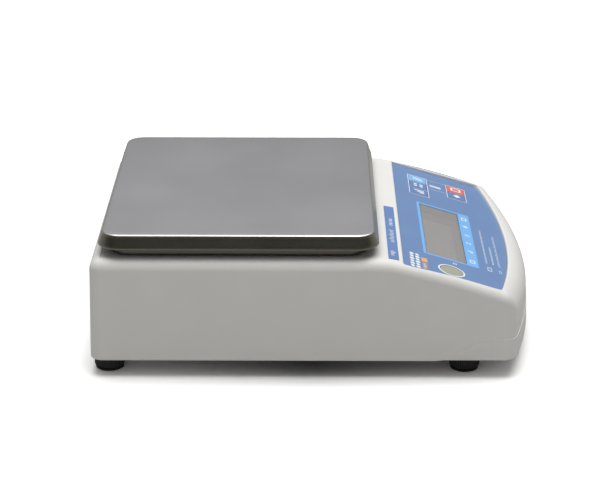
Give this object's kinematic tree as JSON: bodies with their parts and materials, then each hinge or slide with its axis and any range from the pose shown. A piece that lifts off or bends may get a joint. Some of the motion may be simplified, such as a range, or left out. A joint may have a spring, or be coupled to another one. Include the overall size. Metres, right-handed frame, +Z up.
{
  "type": "counting scale",
  "caption": "Compact bench counting scale: moulded two-part housing, loose steel pan on a load cell, sloped membrane panel with display and level, screw feet.",
  "frame": {"origin": "on the bench under the middle of the object", "axes": "+Z up, +Y away from the operator, +X to the operator's right"},
  "size_m": [0.1738, 0.2278, 0.075],
  "materials": {
    "cover": "fine satin moulded plastic",
    "tray": "fine satin moulded plastic",
    "overlay": "printed film, fine velvet texture",
    "label": "printed film",
    "key_dark": "embossed printed film",
    "key_light": "embossed printed film",
    "key_red": "embossed printed film",
    "circuit": "polyester film",
    "clear": "clear window",
    "display": "liquid crystal display glass",
    "backlight": "white diffuser",
    "board": "solder mask",
    "pan": "fine brushed stainless steel",
    "support": "bright stainless steel",
    "zinc": "zinc plated steel",
    "alu": "machined",
    "rubber": "matte black",
    "foot": "matte black moulding",
    "battery": "moulded case",
    "vial": "filled acrylic vial",
    "socket": "moulded black",
    "cable": "flexible insulation"
  },
  "bodies": {
    "base": {"top_cover": "cover", "bottom_shell": "tray", "panel_overlay": "overlay", "label_strip": "label", "display_window": "clear", "level_window": "clear", "membrane_circuit": "circuit", "display_glass": "display", "display_backlight": "backlight", "display_board": "board", "main_board": "board", "level_vial": "vial", "load_cell": "alu", "cell_mount": "zinc", "cell_bolt_1": "zinc", "cell_bolt_2": "zinc", "overload_stop": "zinc", "battery_pack": "battery", "dc_jack": "socket", "serial_port": "zinc", "load_cell_cable": "cable", "display_cable": "cable", "battery_cable": "socket", "case_screw_1": "zinc", "case_screw_2": "zinc", "case_screw_3": "zinc", "case_screw_4": "zinc"},
    "pan_support": {"pan_support": "support", "support_column": "alu", "support_screw_1": "zinc", "support_screw_2": "zinc", "pan_pad_1": "rubber", "pan_pad_2": "rubber", "pan_pad_3": "rubber", "pan_pad_4": "rubber"},
    "weighing_pan": {"weighing_pan": "pan"},
    "key_count": {"key_count": "key_dark"},
    "key_sample": {"key_sample": "key_dark"},
    "key_unit": {"key_unit": "key_light"},
    "key_tare": {"key_tare": "key_dark"},
    "key_power": {"key_power": "key_red"},
    "battery_door": {"battery_door": "tray"},
    "foot_1_pad": {"foot_pad_1": "rubber"},
    "foot_1_wheel": {"foot_wheel_1": "foot", "foot_stud_1": "zinc"},
    "foot_2_pad": {"foot_pad_2": "rubber"},
    "foot_2_wheel": {"foot_wheel_2": "foot", "foot_stud_2": "zinc"},
    "foot_3_pad": {"foot_pad_3": "rubber"},
    "foot_3_wheel": {"foot_wheel_3": "foot", "foot_stud_3": "zinc"},
    "foot_4_pad": {"foot_pad_4": "rubber"},
    "foot_4_wheel": {"foot_wheel_4": "foot", "foot_stud_4": "zinc"}
  },
  "joints": [
    {"name": "support_deflection", "type": "slide", "parent": "base", "child": "pan_support", "axis": [0, 0, 1], "range_m": [-0.0004, 0]},
    {"name": "pan_lift_off", "type": "slide", "parent": "pan_support", "child": "weighing_pan", "axis": [0, 0, 1], "range_m": [0, 0.06]},
    {"name": "key_count_press", "type": "slide", "parent": "base", "child": "key_count", "axis": [0, 0.2907, -0.9568], "range_m": [0, 0.0003], "stiffness_N_per_m": 60, "springref_m": -0.0002},
    {"name": "key_sample_press", "type": "slide", "parent": "base", "child": "key_sample", "axis": [0, 0.2907, -0.9568], "range_m": [0, 0.0003], "stiffness_N_per_m": 60, "springref_m": -0.0002},
    {"name": "key_unit_press", "type": "slide", "parent": "base", "child": "key_unit", "axis": [0, 0.2907, -0.9568], "range_m": [0, 0.0003], "stiffness_N_per_m": 60, "springref_m": -0.0002},
    {"name": "key_tare_press", "type": "slide", "parent": "base", "child": "key_tare", "axis": [0, 0.2907, -0.9568], "range_m": [0, 0.0003], "stiffness_N_per_m": 60, "springref_m": -0.0002},
    {"name": "key_power_press", "type": "slide", "parent": "base", "child": "key_power", "axis": [0, 0.2907, -0.9568], "range_m": [0, 0.0003], "stiffness_N_per_m": 60, "springref_m": -0.0002},
    {"name": "battery_door_remove", "type": "slide", "parent": "base", "child": "battery_door", "axis": [0, 0, -1], "range_m": [0, 0.03]},
    {"name": "foot_1_extend", "type": "slide", "parent": "base", "child": "foot_1_pad", "axis": [0, 0, -1], "range_m": [0, 0.006]},
    {"name": "foot_1_turn", "type": "hinge", "parent": "foot_1_pad", "child": "foot_1_wheel", "pos_m": [-0.0725, 0.1049, 0.005], "axis": [0, 0, -1], "range_deg": [0, 2196]},
    {"name": "foot_2_extend", "type": "slide", "parent": "base", "child": "foot_2_pad", "axis": [0, 0, -1], "range_m": [0, 0.006]},
    {"name": "foot_2_turn", "type": "hinge", "parent": "foot_2_pad", "child": "foot_2_wheel", "pos_m": [0.0725, 0.1049, 0.005], "axis": [0, 0, -1], "range_deg": [0, 2196]},
    {"name": "foot_3_extend", "type": "slide", "parent": "base", "child": "foot_3_pad", "axis": [0, 0, -1], "range_m": [0, 0.006]},
    {"name": "foot_3_turn", "type": "hinge", "parent": "foot_3_pad", "child": "foot_3_wheel", "pos_m": [-0.0725, -0.0775, 0.005], "axis": [0, 0, -1], "range_deg": [0, 2196]},
    {"name": "foot_4_extend", "type": "slide", "parent": "base", "child": "foot_4_pad", "axis": [0, 0, -1], "range_m": [0, 0.006]},
    {"name": "foot_4_turn", "type": "hinge", "parent": "foot_4_pad", "child": "foot_4_wheel", "pos_m": [0.0725, -0.0775, 0.005], "axis": [0, 0, -1], "range_deg": [0, 2196]}
  ],
  "couplings": [
    {"joint": "foot_1_turn", "follows": "foot_1_extend", "rad_per_m": 6283.2},
    {"joint": "foot_2_turn", "follows": "foot_2_extend", "rad_per_m": 6283.2},
    {"joint": "foot_3_turn", "follows": "foot_3_extend", "rad_per_m": 6283.2},
    {"joint": "foot_4_turn", "follows": "foot_4_extend", "rad_per_m": 6283.2}
  ]
}
